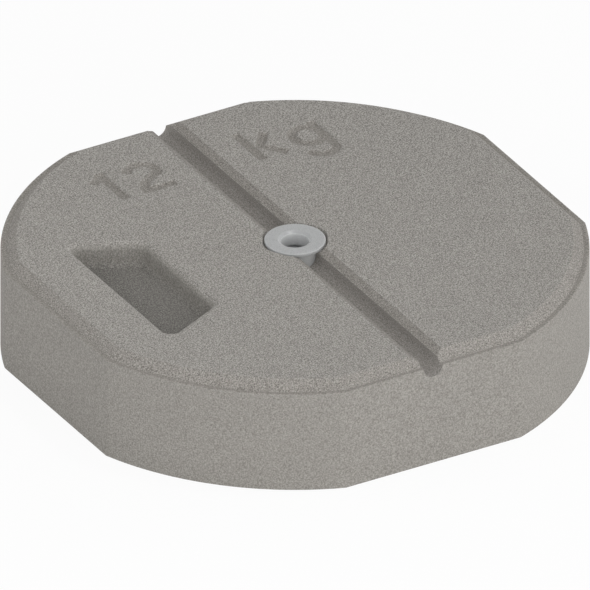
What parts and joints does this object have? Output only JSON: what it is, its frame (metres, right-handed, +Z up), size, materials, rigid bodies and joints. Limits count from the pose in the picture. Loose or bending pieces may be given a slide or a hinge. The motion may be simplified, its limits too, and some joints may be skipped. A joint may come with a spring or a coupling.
{
  "type": "umbrella base weight",
  "caption": "Low round concrete weight slab with flat sides, a bevelled rim, a straight groove across the top, a grip pocket and a flanged plastic bush in the centre.",
  "frame": {"origin": "centre of the underside, on the axis of the centre hole", "axes": "+Z up, +Y along the groove, -X towards the grip pocket"},
  "size_m": [0.31, 0.31, 0.0671],
  "materials": {
    "concrete": "matte, fine sandy cast face",
    "bush_plastic": "smooth moulded, satin"
  },
  "bodies": {
    "root": {"concrete_slab": "concrete", "flanged_bush": "bush_plastic"}
  },
  "joints": []
}
